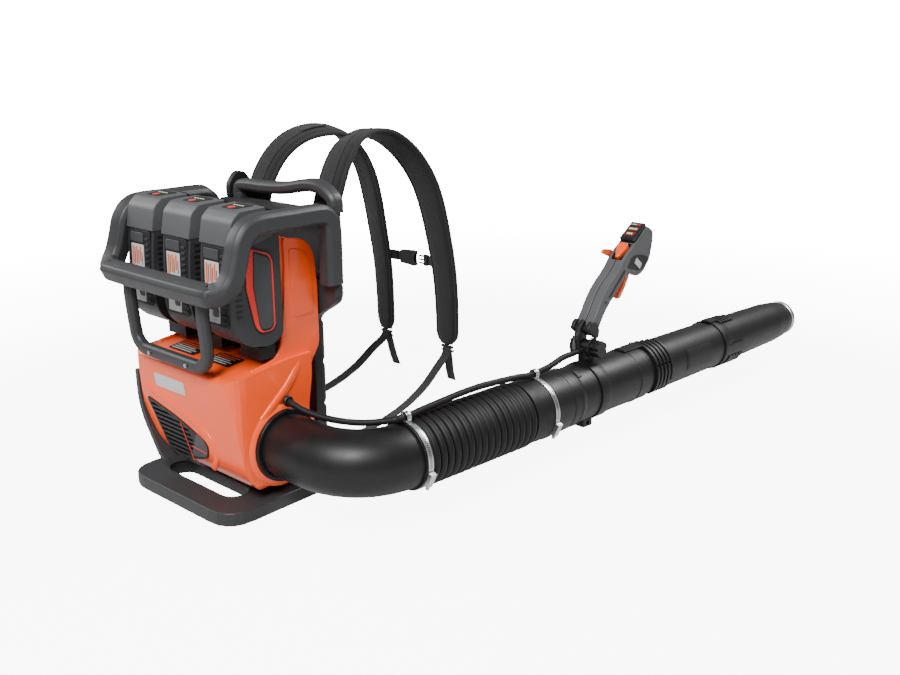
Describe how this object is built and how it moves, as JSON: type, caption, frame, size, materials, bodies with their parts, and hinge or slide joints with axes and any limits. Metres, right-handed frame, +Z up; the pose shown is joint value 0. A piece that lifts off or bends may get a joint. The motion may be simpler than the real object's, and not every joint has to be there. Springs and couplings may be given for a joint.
{
  "type": "backpack leaf blower",
  "caption": "Backpack leaf blower on a slotted base plate: battery packs in a bar guard, padded harness, elbow, ribbed hose and blow tube with a throttle handle.",
  "frame": {"origin": "middle of the base plate's underside, on the floor", "axes": "+Z up, -Y the battery face, +Y the side worn against the back and the way the blow tube points, +X the outlet side"},
  "size_m": [0.7559, 1.6718, 0.7052],
  "materials": {
    "battery_case": "grey caps on a black core",
    "black_plastic": "satin black",
    "board": "lacquered board",
    "bolt_steel": "zinc plated",
    "button_red": "moulded red",
    "cable_black": "corrugated sheath",
    "cell_sleeve": "shrink sleeve",
    "copper": "wound copper",
    "dark_grey": "fine-grained dark grey",
    "display_black": "glossy window",
    "foam": "woven cover over foam",
    "guard_grey": "fine-grained grey",
    "handle_grey": "grey with black overmould",
    "hose_rubber": "matte black",
    "mount_rubber": "matte black",
    "orange_shell": "glossy moulded orange",
    "orange_trim": "satin moulded orange",
    "ring_metal": "brushed",
    "steel": "stainless strip",
    "strap_fabric": "woven, piped edge",
    "tube_black": "satin black, fine grain",
    "webbing": "ribbed webbing"
  },
  "bodies": {
    "frame": {"base_plate": "dark_grey", "rubber_mounts": "mount_rubber", "back_frame": "dark_grey", "carry_handle": "guard_grey", "cage_upper": "guard_grey", "cage_lower": "guard_grey", "body_cover": "orange_shell", "battery_tower": "orange_shell", "side_intake": "dark_grey", "front_grille": "black_plastic", "volute_front": "black_plastic", "volute_rear": "black_plastic", "outlet_collar": "tube_black", "elbow_duct": "tube_black", "hose_clamp_near": "steel", "motor_stator": "copper", "motor_bearings": "bolt_steel", "controller_board": "board", "battery_rails": "black_plastic", "frame_bolts": "bolt_steel", "back_pad": "foam", "strap_left": "strap_fabric", "strap_right": "strap_fabric", "webbing_left": "webbing", "webbing_right": "webbing", "buckle_female": "black_plastic", "buckle_male": "black_plastic", "cable_near": "cable_black"},
    "fan": {"motor_rotor": "bolt_steel", "impeller": "black_plastic"},
    "hose_link": {"bellows_hose": "hose_rubber", "cable_middle": "cable_black"},
    "hose_end": {"hose_clamp_far": "steel", "swivel_cuff": "tube_black"},
    "blow_tube": {"first_pipe": "tube_black", "handle_clamp": "tube_black", "middle_pipe": "tube_black", "cable_far": "cable_black"},
    "nozzle": {"nozzle_pipe": "tube_black", "nozzle_ring": "ring_metal"},
    "handle": {"handle_left": "handle_grey", "handle_right": "handle_grey", "handle_display": "display_black"},
    "knob": {"clamp_knob": "tube_black"},
    "trigger": {"throttle_trigger": "orange_trim"},
    "cruise": {"cruise_lever": "orange_trim"},
    "thumb": {"thumb_button": "orange_trim"},
    "pack_left": {"battery_left": "battery_case", "cells_left": "cell_sleeve"},
    "gauge_left": {"button_left": "button_red"},
    "catch_left": {"latch_left": "black_plastic"},
    "pack_middle": {"battery_middle": "battery_case", "cells_middle": "cell_sleeve"},
    "gauge_middle": {"button_middle": "button_red"},
    "catch_middle": {"latch_middle": "black_plastic"},
    "pack_right": {"battery_right": "battery_case", "cells_right": "cell_sleeve"},
    "gauge_right": {"button_right": "button_red"},
    "catch_right": {"latch_right": "black_plastic"}
  },
  "joints": [
    {"name": "fan_spin", "type": "hinge", "parent": "frame", "child": "fan", "pos_m": [-0.01, 0, 0.172], "axis": [0, 1, 0], "continuous": true},
    {"name": "battery_slide_left", "type": "slide", "parent": "frame", "child": "pack_left", "axis": [0, 0, 1], "range_m": [0, 0.24]},
    {"name": "latch_lift_left", "type": "hinge", "parent": "pack_left", "child": "catch_left", "pos_m": [-0.1195, 0.003, 0.57], "axis": [-1, 0, 0], "range_deg": [0, 18], "stiffness_Nm_per_rad": 0.5, "springref_deg": -11.46},
    {"name": "gauge_press_left", "type": "slide", "parent": "pack_left", "child": "gauge_left", "axis": [0, 0, -1], "range_m": [0, 0.001], "stiffness_N_per_m": 400, "springref_m": -0.0015},
    {"name": "battery_slide_middle", "type": "slide", "parent": "frame", "child": "pack_middle", "axis": [0, 0, 1], "range_m": [0, 0.24]},
    {"name": "latch_lift_middle", "type": "hinge", "parent": "pack_middle", "child": "catch_middle", "pos_m": [0, 0.003, 0.57], "axis": [-1, 0, 0], "range_deg": [0, 18], "stiffness_Nm_per_rad": 0.5, "springref_deg": -11.46},
    {"name": "gauge_press_middle", "type": "slide", "parent": "pack_middle", "child": "gauge_middle", "axis": [0, 0, -1], "range_m": [0, 0.001], "stiffness_N_per_m": 400, "springref_m": -0.0015},
    {"name": "battery_slide_right", "type": "slide", "parent": "frame", "child": "pack_right", "axis": [0, 0, 1], "range_m": [0, 0.24]},
    {"name": "latch_lift_right", "type": "hinge", "parent": "pack_right", "child": "catch_right", "pos_m": [0.1195, 0.003, 0.57], "axis": [-1, 0, 0], "range_deg": [0, 18], "stiffness_Nm_per_rad": 0.5, "springref_deg": -11.46},
    {"name": "gauge_press_right", "type": "slide", "parent": "pack_right", "child": "gauge_right", "axis": [0, 0, -1], "range_m": [0, 0.001], "stiffness_N_per_m": 400, "springref_m": -0.0015},
    {"name": "hose_yaw", "type": "hinge", "parent": "frame", "child": "hose_link", "pos_m": [0.38268, 0.18257, 0.13], "axis": [0, 0, 1], "range_deg": [-20, 20], "deforming": ["bellows_hose", "cable_middle"]},
    {"name": "hose_pitch", "type": "hinge", "parent": "hose_link", "child": "hose_end", "pos_m": [0.403, 0.40163, 0.13], "axis": [0.9957, -0.0924, 0], "range_deg": [-3, 25], "deforming": ["cable_far", "cable_near"]},
    {"name": "tube_swivel", "type": "hinge", "parent": "hose_end", "child": "blow_tube", "pos_m": [0.41344, 0.51415, 0.13], "axis": [0.0924, 0.9957, 0], "range_deg": [-45, 45]},
    {"name": "nozzle_twist", "type": "hinge", "parent": "blow_tube", "child": "nozzle", "pos_m": [0.47043, 1.12851, 0.13], "axis": [0.0924, 0.9957, 0], "range_deg": [0, 20]},
    {"name": "handle_tilt", "type": "hinge", "parent": "blow_tube", "child": "handle", "pos_m": [0.406, 0.654, 0.224], "axis": [1, 0, 0], "range_deg": [-20, 25]},
    {"name": "knob_turn", "type": "hinge", "parent": "blow_tube", "child": "knob", "pos_m": [0.406, 0.654, 0.224], "axis": [1, 0, 0], "continuous": true},
    {"name": "trigger_pull", "type": "hinge", "parent": "handle", "child": "trigger", "pos_m": [0.406, 0.817, 0.37009], "axis": [-1, 0, 0], "range_deg": [0, 14], "stiffness_Nm_per_rad": 0.4, "springref_deg": -11.46},
    {"name": "cruise_turn", "type": "hinge", "parent": "handle", "child": "cruise", "pos_m": [0.387, 0.79934, 0.40023], "axis": [1, 0, 0], "range_deg": [0, 40]},
    {"name": "thumb_press", "type": "slide", "parent": "handle", "child": "thumb", "axis": [0, 0.809, -0.5878], "range_m": [0, 0.002], "stiffness_N_per_m": 500, "springref_m": -0.002}
  ]
}
